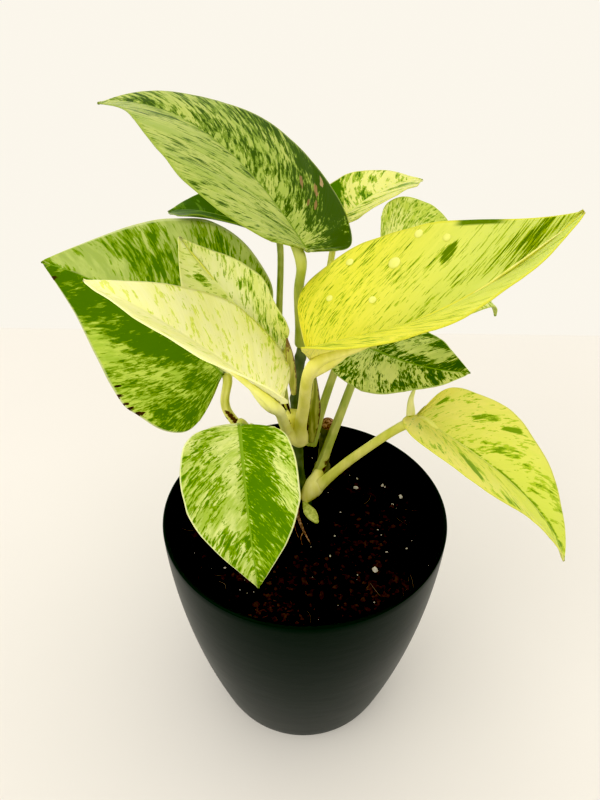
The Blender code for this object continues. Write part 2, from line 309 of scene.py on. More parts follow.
sheen = {"IOR": 1.17, "Specular Tint": (0.72, 1.0, 0.84, 1)}
material, shader, start = new_finish("black_moulded_plastic", 0.3, sheen)
place = place_in(start)
cloud = place.noise(28.0, 3.0)
feed(shader, "Base Color", cloud.blend((0.008, 0.013, 0.011), (0.012, 0.019, 0.016)))
feed(shader, "Roughness", 0.24 + cloud * 0.14)
ripple = place.stretched(60, 60, 220).noise(1.0, 2.0) + place.noise(1400.0, 1.0) * 0.25
feed(shader, "Normal", bump(ripple, 0.12, 0.0004))
finish_piece(pot, "pot_shell", material, "pot")


# The potting mix. A loose, lumpy bed of dark coir fills the pot to a finger's width below the rim, and is
# pressed to the pot's wall. Crumbs, red-brown chips of husk, coir fibres and white perlite lie on it.
SOIL_LOW, SOIL_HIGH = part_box("soil")
SOIL_LEVEL = SOIL_HIGH[2]
SOIL_WALL_GAP = 0.0002
SOIL_RADIUS = pot_radius(SOIL_LEVEL) - POT_WALL - SOIL_WALL_GAP
SOIL_EDGE_DROP = 0.002
UNDERSIDE_END, SIDE_END = 0.1, 0.35
LUMP_HEIGHT = 0.0022
LUMP_SINK = 0.0012
LUMPS = ((70, 0.55), (190, 0.3), (480, 0.22))


def bed_height(x, y):
    """The mix's surface, with lumps of three sizes."""
    place = Vector((x, y, 0.0))
    lumps = sum(noise.noise(place * finer) * share for finer, share in LUMPS)
    return SOIL_LEVEL - LUMP_SINK + LUMP_HEIGHT * lumps


def shaped_grid(columns, rows, shape):
    """A grid primitive whose points move to shape(u, v), with u and v from 0 to 1, its doubles merged."""
    bpy.ops.object.select_all(action="DESELECT")
    bpy.ops.mesh.primitive_grid_add(x_subdivisions=columns, y_subdivisions=rows, size=2)
    piece = bpy.context.object
    flat = np.empty(len(piece.data.vertices) * 3, np.float32)
    piece.data.vertices.foreach_get("co", flat)
    flat = flat.reshape(-1, 3).astype(float)
    points, tags = shape((flat[:, 0] + 1) / 2, (flat[:, 1] + 1) / 2)
    piece.data.vertices.foreach_set("co", points.astype(np.float32).ravel())
    for tag, values in tags.items():
        kept = piece.data.attributes.new(tag, "FLOAT", "POINT")
        kept.data.foreach_set("value", values.astype(np.float32))
    bpy.ops.object.mode_set(mode="EDIT")
    bpy.ops.mesh.select_all(action="SELECT")
    bpy.ops.mesh.remove_doubles(threshold=2e-6)
    bpy.ops.object.mode_set(mode="OBJECT")
    bpy.ops.object.shade_smooth()
    return piece


def face_outwards(piece):
    """Turns every face of a closed mesh outwards."""
    bpy.ops.object.select_all(action="DESELECT")
    piece.select_set(True)
    bpy.context.view_layer.objects.active = piece
    bpy.ops.object.mode_set(mode="EDIT")
    bpy.ops.mesh.select_all(action="SELECT")
    bpy.ops.mesh.normals_make_consistent(inside=False)
    bpy.ops.object.mode_set(mode="OBJECT")


def soil_shape(u, v):
    """Underside, side and lumpy top of the mix, from the middle of one to the middle of the other."""
    bottom = SOIL_LOW[2]
    side_height = SOIL_LEVEL - SOIL_EDGE_DROP - bottom
    points = []
    for turn, run in zip(u * math.tau, v):
        if run < UNDERSIDE_END:
            radius, height = (pot_radius(bottom) - POT_WALL) * run / UNDERSIDE_END, bottom
        elif run < SIDE_END:
            height = bottom + side_height * (run - UNDERSIDE_END) / (SIDE_END - UNDERSIDE_END)
            radius = pot_radius(height) - POT_WALL - SOIL_WALL_GAP
        else:
            radius, height = SOIL_RADIUS * (1 - run) / (1 - SIDE_END), None
        x, y = radius * math.cos(turn), radius * math.sin(turn)
        points.append((x, y, bed_height(x, y) if height is None else height))
    return np.array(points), {}


bed = shaped_grid(180, 110, soil_shape)
face_outwards(bed)
material, shader, start = new_finish("damp_coir", 0.95, {"Specular IOR Level": 0.06})
place = place_in(start)
coarse = place.noise(160.0, 4.0, 0.6)
husk = place.noise(70.0, 3.0).step(0.54, 0.66) * place.noise(420.0, 2.0).step(0.36, 0.6)
dark = coarse.blend((0.0012, 0.0009, 0.0008), (0.014, 0.009, 0.007))
feed(shader, "Base Color", husk.blend(dark, (0.058, 0.034, 0.029)))
feed(shader, "Normal", bump(coarse + place.noise(1500.0, 3.0) * 0.6, 0.9, 0.0012))
finish_piece(bed, "potting_mix_bed", material, "soil")


# The loose bits. Crumbs of coir, red-brown chips of husk and grains of white perlite lie scattered on the
# mix. Each kind is one small lump, copied many times, with no two copies alike.
MM = 0.001
LUMP_TILT = 0.6
LUMP_ROUGHNESS = (0.72, 1.25)
LUMP_NARROWNESS = (0.5, 0.9)
LUMP_LIFT = 0.2


def copies_of_ball(detail, moves):
    """One piece of many small balls. A move takes the ball's points to their places in one copy."""
    bpy.ops.object.select_all(action="DESELECT")
    bpy.ops.mesh.primitive_ico_sphere_add(subdivisions=detail, radius=1)
    piece = bpy.context.object
    ball = piece.data.copy()
    together = bmesh.new()
    for move in moves:
        first = len(together.verts)
        together.from_mesh(ball)
        together.verts.ensure_lookup_table()
        for vert in together.verts[first:]:
            vert.co = move(vert.co)
    together.to_mesh(piece.data)
    together.free()
    return piece


def scattered(name, spots, detail=1):
    """Small lumps on the mix, each turned, stretched and roughened. A spot is (x, y, lift, size)."""
    dice = random.Random(name)

    def lump_at(x, y, lift, size):
        heading = Matrix.Rotation(dice.uniform(0, math.tau), 4, "Z")
        turn = heading @ Matrix.Rotation(dice.uniform(-LUMP_TILT, LUMP_TILT), 4, "X")
        place = Matrix.Translation((x, y, bed_height(x, y) + lift)) @ turn @ Matrix.Diagonal((*size, 1))
        return lambda point: place @ (point * dice.uniform(*LUMP_ROUGHNESS))

    return copies_of_ball(detail, (lump_at(*spot) for spot in spots))


def soil_spots(name, count, smallest, largest, flat=0.7, clusters=(), spread=0):
    """Random spots on the mix, gathered round the clusters if there are any. Sizes are in millimetres."""
    dice = random.Random(name + " spots")
    spots = []
    while len(spots) < count:
        if clusters:
            middle = dice.choice(clusters)
            x, y = dice.gauss(middle[0] * MM, spread), dice.gauss(middle[1] * MM, spread)
        else:
            x, y = dice.uniform(-1, 1) * SOIL_RADIUS, dice.uniform(-1, 1) * SOIL_RADIUS
        if math.hypot(x, y) > SOIL_RADIUS - largest * MM:
            continue
        size = dice.uniform(smallest, largest) * MM
        spots.append((x, y, size * LUMP_LIFT, (size, size * dice.uniform(*LUMP_NARROWNESS), size * flat)))
    return spots


def mottled_finish(name, roughness, gloss, patches, edges, dark, light):
    """Two tones in soft patches. Patches gives the noise's scale and detail, and edges where a tone ends."""
    material, shader, start = new_finish(name, roughness, {"Specular IOR Level": gloss})
    tone = place_in(start).noise(*patches).step(*edges)
    feed(shader, "Base Color", tone.blend(dark, light))
    return material


crumbs = scattered("crumbs", soil_spots("crumbs", 1500, 0.35, 1.1))
tones = ((0.0015, 0.001, 0.0009), (0.03, 0.016, 0.010))
material = mottled_finish("dark_crumb", 0.95, 0.06, (330.0, 2.0), (0.35, 0.7), *tones)
finish_piece(crumbs, "coir_crumbs", material, "soil")

# Where the chips of husk have gathered, in millimetres from the middle of the pot.
HUSK_PATCHES = [(-14, -40), (-6, -44), (22, -34), (30, -26), (20, -4), (34, 4), (-20, -18), (4, -22)]
chips = scattered("chips", soil_spots("chips", 520, 0.4, 1.7, 0.5, HUSK_PATCHES, 0.006))
tones = ((0.030, 0.020, 0.018), (0.072, 0.043, 0.037))
material = mottled_finish("husk_chip", 0.9, 0.1, (420.0, 2.0), (0.3, 0.7), *tones)
finish_piece(chips, "husk_chips", material, "soil")

# Places of the larger perlite grains, in millimetres from the middle of the pot, with each one's length.
PERLITE = [
    (22, 24, 2.0), (34, 27, 1.6), (35, 26, 1.1), (41, 19, 2.1), (37, 14, 1.2), (11, 34, 1.3), (23, 30, 1.1),
    (27, -20, 2.7), (-27, -40, 1.3), (-15, -45, 1.3), (10, -14, 1.0), (32, -12, 1.1), (12, -4, 1.0),
    (15, 10, 0.9), (-30, -20, 1.0), (-26, 30, 1.3), (-10, 40, 1.2), (40, -10, 1.0), (3, 44, 1.1),
]
# A grain's half length, half width and half height, as shares of its length.
PERLITE_SHARES = (0.55, 0.36, 0.35)
PERLITE_LIFT = 0.25
perlite_spots = [
    (x * MM, y * MM, length * PERLITE_LIFT * MM, [length * share * MM for share in PERLITE_SHARES])
    for x, y, length in PERLITE
]
perlite_spots += soil_spots("grit", 60, 0.18, 0.4)
perlite = scattered("perlite", perlite_spots, 2)
material, shader, start = new_finish("perlite", 0.8)
tone = place_in(start).noise(900.0, 3.0)
feed(shader, "Base Color", tone.blend((0.42, 0.38, 0.33), (0.86, 0.82, 0.76)))
feed(shader, "Normal", bump(tone, 0.6, 0.0003))
finish_piece(perlite, "perlite_grains", material, "soil")


# The coir fibres. Loose brown hairs from the coconut's husk, a few millimetres long and thinner than a
# pin, lie bent over the lumps of the mix. Each is a tube along a route.
FIBRES = 34
FIBRE_HALF_LENGTH = (0.0015, 0.0045)
FIBRE_LIFT = (0.0001, 0.0012)
FIBRE_SWAY = 0.0012
FIBRE_RADIUS = (0.00007, 0.00017)
FIBRE_WALL_GAP = 0.001
END_SHARE = 0.05
END_DOME = 0.8


def smooth_route(points, steps):
    """Points of a Catmull-Rom curve through the route's own points, with this many steps to each span."""
    points = np.array(points, float)
    ends = np.vstack([points[0] * 2 - points[1], points, points[-1] * 2 - points[-2]])
    route = []
    for a, b, c, d in zip(ends, ends[1:], ends[2:], ends[3:]):
        for t in np.arange(steps) / steps:
            bend = (a * 2 - b * 5 + c * 4 - d) * t * t + (b * 3 - a - c * 3 + d) * t**3
            route.append((b * 2 + (c - a) * t + bend) / 2)
    return np.array([*route, points[-1]])


def marks_along(route):
    """How far along the route each of its points is, in metres."""
    return np.concatenate([[0], np.cumsum(np.linalg.norm(np.diff(route, axis=0), axis=1))])


def tube_shape(route, radius_at, upward=(0, -1, 0.2), section=None, rounded=True):
    """A closed tube for shaped_grid. A section's turn is measured from the upward direction."""
    marks = marks_along(route) / marks_along(route)[-1]
    heading = np.gradient(route, axis=0)
    heading /= np.linalg.norm(heading, axis=1)[:, None]
    up = np.array(upward, float)
    ups = []
    for direction in heading:
        up = up - direction * up.dot(direction)
        up /= np.linalg.norm(up)
        ups.append(up)

    def shape(u, v):
        turn = u * math.tau
        place = np.clip((v - END_SHARE) / (1 - 2 * END_SHARE), 0, 1)
        closing = np.clip(np.minimum(v, 1 - v) / END_SHARE, 0, 1) * np.pi / 2
        centre, along, top = (
            np.stack([np.interp(place, marks, column) for column in np.array(rows).T], axis=-1)
            for rows in (route, heading, ups)
        )
        side = np.cross(along, top)
        radius = radius_at(place)
        reach = radius * (np.sin(closing) if rounded else closing * 2 / np.pi)
        reach = (reach * (section(turn, place) if section else 1))[:, None]
        if rounded:
            dome = np.where(v < 0.5, -END_DOME, END_DOME) * np.cos(closing) * radius
            centre = centre + along * dome[:, None]
        points = centre + (top * np.cos(turn)[:, None] + side * np.sin(turn)[:, None]) * reach
        return points, {"place": place, "side": np.sin(turn)}

    return shape


def joined(parts):
    """The parts made into one piece, which is the first of them."""
    bpy.ops.object.select_all(action="DESELECT")
    for part in parts:
        part.select_set(True)
    bpy.context.view_layer.objects.active = parts[0]
    bpy.ops.object.join()
    return parts[0]


dice = random.Random("fibres")
fibre_parts = []
while len(fibre_parts) < FIBRES:
    x, y = dice.uniform(-1, 1) * SOIL_RADIUS, dice.uniform(-1, 1) * SOIL_RADIUS
    heading, half = dice.uniform(0, math.tau), dice.uniform(*FIBRE_HALF_LENGTH)
    ends = [(x + math.cos(heading) * half * i, y + math.sin(heading) * half * i) for i in range(3)]
    if max(math.hypot(*end) for end in ends) > SOIL_RADIUS - FIBRE_WALL_GAP:
        continue
    lifts = [dice.uniform(*FIBRE_LIFT) for _ in ends]
    sway = dice.uniform(-FIBRE_SWAY, FIBRE_SWAY)
    ends[1] = (ends[1][0] - math.sin(heading) * sway, ends[1][1] + math.cos(heading) * sway)
    line = smooth_route([(a, b, bed_height(a, b) + lift) for (a, b), lift in zip(ends, lifts)], 6)
    thickness = dice.uniform(*FIBRE_RADIUS)
    fibre_parts.append(shaped_grid(5, 12, tube_shape(line, lambda place: thickness + place * 0, (0, 0, 1))))
fibres = joined(fibre_parts)
face_outwards(fibres)
tones = ((0.05, 0.035, 0.028), (0.17, 0.135, 0.11))
material = mottled_finish("coir_fibre", 0.8, 0.1, (120.0, 1.0), (0.4, 0.6), *tones)
finish_piece(fibres, "coir_fibres", material, "soil")


# The stems. A living vine and a shorter one behind it come out of the mix, dark green and about 4 mm
# thick, with a ring at each node. A thicker third one was pruned, and its cut end has dried brown.
ROUTE_STEPS = 10
STEM_TAPER = 0.8
RING_HEIGHT, RING_WIDTH = 0.22, 0.012
SWELL_HEIGHT, SWELL_WIDTH, SWELL_BEFORE = 0.12, 0.05, 0.03
DARK_BARK, GREEN_BARK = (0.062, 0.098, 0.042), (0.160, 0.210, 0.085)
CORK_BROWN = (0.10, 0.045, 0.015)
MAIN_STEM = [(3, 14, -25), (1, 14, 0), (-2, 15, 15), (-3, 14, 32), (-4, 14, 54), (-2, 17, 73)]
BACK_STEM = [(-2, 29, -25), (-3, 28, 0), (-3, 26, 20), (-4, 25, 40)]
CUT_STEM = [(7, 31, -25), (7, 30, 0), (8, 27, 18), (9, 25, 34)]


def over_soil(points):
    """Points in metres from points in millimetres whose height is measured from the mix's surface."""
    return np.array(points, float) * MM + np.array([0, 0, SOIL_LEVEL])


def add_tube(name, points, radius_at, columns, rows, **options):
    """A tube along a route in millimetres over the mix."""
    route = smooth_route(over_soil(points), ROUTE_STEPS)
    tube = shaped_grid(columns, rows, tube_shape(route, radius_at, **options))
    tube.name = name
    face_outwards(tube)
    return tube


def stem_finish(name, dark, light):
    """Green bark with fine lengthwise lines and a few corky spots."""
    material, shader, start = new_finish(name, 0.42, {"Specular IOR Level": 0.25})
    place = place_in(start)
    lines = place.stretched(900, 900, 60).noise(1.0, 3.0)
    tone = place.noise(140.0, 2.0)
    colour = (tone.step(0.35, 0.65) * 0.7 + lines.step(0.4, 0.7) * 0.3).blend(dark, light)
    corky = place.noise(520.0, 2.0, 0.6).step(0.70, 0.76)
    feed(shader, "Base Color", corky.blend(colour, CORK_BROWN))
    feed(shader, "Roughness", 0.36 + corky * 0.4 + (lines - 0.5) * 0.2)
    feed(shader, "Normal", bump(lines + corky, 0.4, 0.0004))
    return material


def hump(distance, width):
    """1 at no distance, falling smoothly to nearly nothing at twice the width."""
    return np.exp(-((distance / width) ** 2))


def stem_radius(radius, nodes):
    """A stem that narrows to its end, with a ring of bark at each node's place and a swelling before it."""

    def radius_at(place):
        rings = sum(RING_HEIGHT * hump(place - node, RING_WIDTH) for node in nodes)
        swells = sum(SWELL_HEIGHT * hump(place - node + SWELL_BEFORE, SWELL_WIDTH) for node in nodes)
        return radius * MM * (1 - (1 - STEM_TAPER) * place) * (1 + rings + swells)

    return radius_at


for name, points, radius, nodes in (
    ("main_stem", MAIN_STEM, 2.1, (0.34, 0.60, 0.80, 0.97)),
    ("back_stem", BACK_STEM, 1.9, (0.45, 0.70, 0.97)),
):
    stem = add_tube(name + "_vine", points, stem_radius(radius, nodes), 24, 150)
    material = stem_finish(name + "_bark", DARK_BARK, GREEN_BARK)
    finish_piece(stem, name + "_vine", material, name)

pruned = add_tube("pruned", CUT_STEM, stem_radius(3.1, (0.55, 0.86)), 28, 110, rounded=False)
material = stem_finish("pruned_bark", (0.095, 0.11, 0.045), (0.26, 0.27, 0.10))
finish_piece(pruned, "cut_stem_vine", material, "cut_stem")


SCAB_RADIUS = 0.002575
SCAB_BULGE = 0.00025


def scab_radius(place):
    """The dried face of the cut, a little wider in its middle."""
    return SCAB_RADIUS + SCAB_BULGE * np.sin(np.pi * place)


cut_end = CUT_STEM[-1]
scab_points = [(8.8, 25.4, 32.4), (8.9, 25.2, 33.4), (*cut_end[:2], cut_end[2] + 0.4)]
scab = add_tube("scab", scab_points, scab_radius, 28, 16)
material, shader, start = new_finish("dried_cut", 0.9, {"Specular IOR Level": 0.1})
flesh = place_in(start).noise(1100.0, 3.0, 0.6)
feed(shader, "Base Color", flesh.step(0.35, 0.65).blend((0.13, 0.055, 0.030), (0.66, 0.40, 0.24)))
feed(shader, "Normal", bump(flesh, 1.0, 0.0008))
finish_piece(scab, "cut_stem_scab", material, "cut_stem")


# The clasps. At two nodes the pale feet of a pair of stalks grow into one collar of soft, waxy flesh,
# which wraps the vine. The upper one is bruised brown on its left.
CLASP_FINISH = ((0.82, 0.79, 0.19), (1.0, 0.95, 0.42))
BRUISE_BROWN = (0.10, 0.045, 0.012)


def fleshy_finish(name, green, pale, bruises=()):
    """Smooth, waxy stalk flesh. A bruise has its place over the mix and its reach, in millimetres."""
    constants = {"Specular IOR Level": 0.3, "Subsurface Weight": 0.2, "Subsurface Scale": 0.002}
    material, shader, start = new_finish(name, 0.38, constants)
    place = place_in(start)
    lines = place.stretched(420, 420, 50).noise(1.0, 3.0)
    tone = place.noise(90.0, 2.0).step(0.35, 0.65) * 0.6 + lines.step(0.35, 0.7) * 0.4
    colour = tone.blend(green, pale)
    for x, y, z, reach in bruises:
        places = {0: place, 1: tuple(over_soil((x, y, z)))}
        offset = place.node("ShaderNodeVectorMath", {"operation": "DISTANCE"}, places, output=1)
        worn = (offset / (reach * MM) + (place.noise(900.0, 2.0) - 0.5) * 1.2).step(1.1, 0.7)
        colour = worn.blend(colour, BRUISE_BROWN)
    feed(shader, "Base Color", colour)
    feed(shader, "Roughness", 0.34 + lines * 0.12)
    feed(shader, "Normal", bump(lines + place.noise(1500.0, 1.0) * 0.3, 0.2, 0.0003))
    return material


def profile_radius(radii):
    """A radius that runs smoothly through the radii given, in millimetres."""
    column = smooth_route(np.stack([np.linspace(0, 1, len(radii)), radii], axis=1), 12)
    marks = np.linspace(0, 1, 60)
    smooth = np.interp(marks, column[:, 0], column[:, 1])

    def radius_at(place):
        return np.interp(place, marks, smooth) * MM

    return radius_at


for name, points, radii, bruises in (
    (
        "upper_clasp",
        [(-2.4, 13.0, 36.0), (-3.2, 12.2, 38.5), (-4.2, 11.6, 43), (-4.8, 11.4, 48)],
        (4.3, 4.8, 4.5, 3.0),
        ((-7.0, 7.5, 46.5, 1.6),),
    ),
    (
        "lower_clasp",
        [(0.4, 12.8, 4.6), (2.0, 12.4, 7.8), (4.0, 12.4, 11.6), (5.3, 13.6, 17)],
        (2.7, 3.8, 4.0, 2.1),
        (),
    ),
):
    clasp = add_tube(name, points, profile_radius(radii), 28, 60)
    material = fleshy_finish(name + "_flesh", *CLASP_FINISH, bruises)
    finish_piece(clasp, name, material, "main_stem")


# The sheaths, bud and air root. Each leaf unrolls out of a pointed sheath, which dries brown from its
# edges and is then shed. A new shoot swells beside the lowest node, and a dry root reaches for the mix.
SHEATH_THICKNESS = 0.5
KEEL_HEIGHT, KEEL_WIDTH = 0.06, 0.2


def sheath_section(turn, place):
    """Flattened front to back, with a low keel on the face."""
    oval = np.sqrt(np.sin(turn) ** 2 + (SHEATH_THICKNESS * np.cos(turn)) ** 2)
    return oval + KEEL_HEIGHT * hump(np.sin(turn), KEEL_WIDTH)


def attribute(start, name):
    """A value that the mesh keeps at each of its points."""
    return start.node("ShaderNodeAttribute", {"attribute_name": name}, output=2)


def sheath_finish(name, green, pale, brown, dried_from, edge_from):
    """Olive skin that is brown along its two edges, and all over past a share of its length."""
    material, shader, start = new_finish(name, 0.5, {"Specular IOR Level": 0.25, "Subsurface Weight": 0.1})
    place, side = attribute(start, "place"), abs(attribute(start, "side"))
    where = place_in(start)
    lines = where.stretched(900, 900, 70).noise(1.0, 3.0)
    ragged = (where.noise(600.0, 3.0) - 0.5) * 0.5
    colour = lines.step(0.35, 0.65).blend(green, pale)
    dried = (side + ragged).step(edge_from, edge_from + 0.17)
    tip = (place + ragged * 0.6).step(dried_from, dried_from + 0.06)
    feed(shader, "Base Color", dried.math("MAXIMUM", dried, tip).blend(colour, brown))
    feed(shader, "Normal", bump(lines, 0.35, 0.0004))
    return material


for name, points, radii, tones, dried in (
    (
        "new_leaf_sheath",
        [(2, 11, 36), (2.6, 10.4, 44), (3, 10, 52), (3, 9.5, 60), (3, 9, 68)],
        (1.4, 2.1, 2.3, 1.5, 0.15),
        ((0.17, 0.20, 0.03), (0.42, 0.42, 0.10), (0.05, 0.018, 0.008)),
        (1.1, 0.80),
    ),
    (
        "old_leaf_sheath",
        [(-4.6, 8, 60), (-5.0, 7.5, 66), (-5.5, 7, 72), (-6.1, 6.5, 78), (-6.8, 6, 83.5)],
        (1.0, 1.5, 1.6, 1.2, 0.3),
        ((0.40, 0.42, 0.08), (0.64, 0.60, 0.20), (0.20, 0.11, 0.045)),
        (0.82, 0.80),
    ),
    (
        "side_bud",
        [(0.2, 12.8, 3.2), (0.3, 9.8, 2.9), (1.5, 6.9, 2.7), (3.2, 3.9, 2.5), (4.8, 1.0, 2.2)],
        (1.0, 1.4, 2.4, 2.3, 1.1),
        ((0.46, 0.54, 0.10), (0.70, 0.76, 0.24), (0.20, 0.13, 0.04)),
        (1.2, 1.3),
    ),
):
    sheath = add_tube(name, points, profile_radius(radii), 32, 70, section=sheath_section)
    finish_piece(sheath, name + "_skin", sheath_finish(name, *tones, *dried), name)

# Dead shreds of older sheaths, dry and dark brown, still hang at the nodes. Each has its route and its
# radii in millimetres.
SHREDS = [
    ([(-9.6, 8.4, 57.5), (-8.8, 8.4, 55), (-7.6, 9.0, 52)], (0.12, 0.42, 0.2)),
    ([(-7.4, 8.8, 57), (-6.8, 8.8, 54), (-5.8, 9.4, 50)], (0.15, 0.40, 0.15)),
    ([(-0.6, 10.6, 47), (0.4, 10.2, 43.5), (0.2, 10.4, 41), (1.4, 10.2, 39.5)], (0.15, 0.5, 0.55, 0.2)),
]
shreds = joined([add_tube("shred", points, profile_radius(radii), 10, 30) for points, radii in SHREDS])
tones = ((0.020, 0.011, 0.008), (0.07, 0.035, 0.02))
material = mottled_finish("dead_sheath", 0.85, 0.1, (900.0, 2.0), (0.3, 0.7), *tones)
finish_piece(shreds, "old_sheath_shreds", material, "old_leaf_sheath")

# The air root is dry and scurfy, and forks into finer ones before it reaches the mix. Each has its route
# and its radii in millimetres.
ROOTS = [
    ([(-3, 11, 6), (-3, 5, 3), (-1, -2, 2), (2, -9, 1.4)], (0.95, 0.8, 0.6, 0.25)),
    ([(-2.4, 10, 5), (-3.6, 4, 1.6), (-4.0, -1, 1.6), (-2.4, -6, 0.6)], (0.5, 0.4, 0.3, 0.12)),
    ([(-1, -2, 2), (-0.4, -4, 1.8), (-1.4, -7, 1.6), (-0.8, -10, 0.7)], (0.4, 0.3, 0.2, 0.1)),
]
roots = joined([add_tube("root", points, profile_radius(radii), 12, 60) for points, radii in ROOTS])
material, shader, start = new_finish("dry_root", 0.9, {"Specular IOR Level": 0.15})
scurf = place_in(start).noise(700.0, 3.0)
feed(shader, "Base Color", scurf.step(0.3, 0.7).blend((0.07, 0.030, 0.018), (0.42, 0.26, 0.15)))
feed(shader, "Normal", bump(scurf, 0.8, 0.0005))
finish_piece(roots, "air_root_fibres", material, "air_root")


# The yellow leaves. The longest leaf leans out to the right on a pale stalk, folded up along its midrib,
# and a second one hangs over the rim below it. A leaf is one thin waxy blade, sunk along its veins, on a
# channelled stalk that runs on below it as the midrib. New growth is lemon, with a few green dashes.

# Thickness, softness, depths and the channel's width are in metres, and starts, ends and middles are
# shares of the blade. A pace is a power, which gathers what it spaces towards the stalk or the midrib.
BLADE_THICKNESS = 0.00045
BLADE_STATIONS, STATION_PACE = 96, 1.35
BLADE_COLUMNS, COLUMN_PACE = 64, 1.35
MIDRIB_STEPS = 24
LOBE_END = 0.35
EDGE_PACE = 1.15
BULGE_PLACE, BULGE_FULLNESS = 0.678, 0.85
TIP_TAPER, TIP_TAPER_POWER = 0.25, 6
CREASE_SOFTNESS = 0.0011
VEIN_PAIRS, VEIN_PACE, VEIN_OFFSET = 11, 0.9, 0.25
VEIN_DEPTH, VEIN_SHARPNESS, VEIN_START, VEIN_FADE = 0.00022, 0.6, 0.15, 0.6
VEIN_MIDDLE_ALONG, VEIN_MIDDLE_OUT = 0.35, 0.55
CHANNEL_DEPTH, CHANNEL_WIDTH, CHANNEL_FADE = 0.00045, 0.0008, 0.8

# The blade's waves: how high each is, and how many radians it turns through from stalk to tip. The edge's
# own are shares of its width, and the relief's are in metres.
EDGE_WANDER, EDGE_FLUTTER = (0.012, 17), (0.008, 41)
RELIEF_WAVE, RELIEF_FLUTTER = (0.00045, 9), (0.00027, 21)
HOLLOW_WAVE, HOLLOW_WAVE_OUT = (0.0004, 7), 4
WAVE_ENDS = 6


def midrib_frames(leaf):
    """The midrib's points, its side and upward directions at each, and its first direction."""
    heading, pitch, roll = (math.radians(angle) for angle in leaf["lie"])
    flat = Vector((math.cos(heading), math.sin(heading), 0))
    along = flat * math.cos(pitch) + Vector((0, 0, math.sin(pitch)))
    side = Vector((math.sin(heading), -math.cos(heading), 0))
    side.rotate(Matrix.Rotation(-roll, 3, along))
    up = side.cross(along)
    first = along.copy()
    point = Vector(over_soil(leaf["base"]))
    frames = [(*point, *side, *up)]
    for i in range(MIDRIB_STEPS):
        # The curl is tighter towards the tip.
        towards_tip = 2 * (i + 0.5) / MIDRIB_STEPS
        bend = Matrix.Rotation(-math.radians(leaf["curl"]) * towards_tip / MIDRIB_STEPS, 3, side)
        along.rotate(bend)
        up.rotate(bend)
        swing = Matrix.Rotation(math.radians(leaf["sweep"]) / MIDRIB_STEPS, 3, up)
        along.rotate(swing)
        side.rotate(swing)
        turn = Matrix.Rotation(math.radians(leaf["twist"]) / MIDRIB_STEPS, 3, along)
        side.rotate(turn)
        up.rotate(turn)
        point = point + along * (leaf["size"][0] * MM / MIDRIB_STEPS)
        frames.append((*point, *side, *up))
    return np.array(frames), np.array(first)


def frame_at(frames, place):
    """Point, side and up at each place along the midrib, from 0 at the stalk to 1 at the tip."""
    steps = np.linspace(0, 1, MIDRIB_STEPS + 1)
    read = np.stack([np.interp(place, steps, column) for column in frames.T], axis=-1)
    return read[..., 0:3], read[..., 3:6], read[..., 6:9]


def wave(size, turns, place, phase):
    """A ripple of this size, turns being radians from place 0 to place 1."""
    return size * np.sin(place * turns + phase)


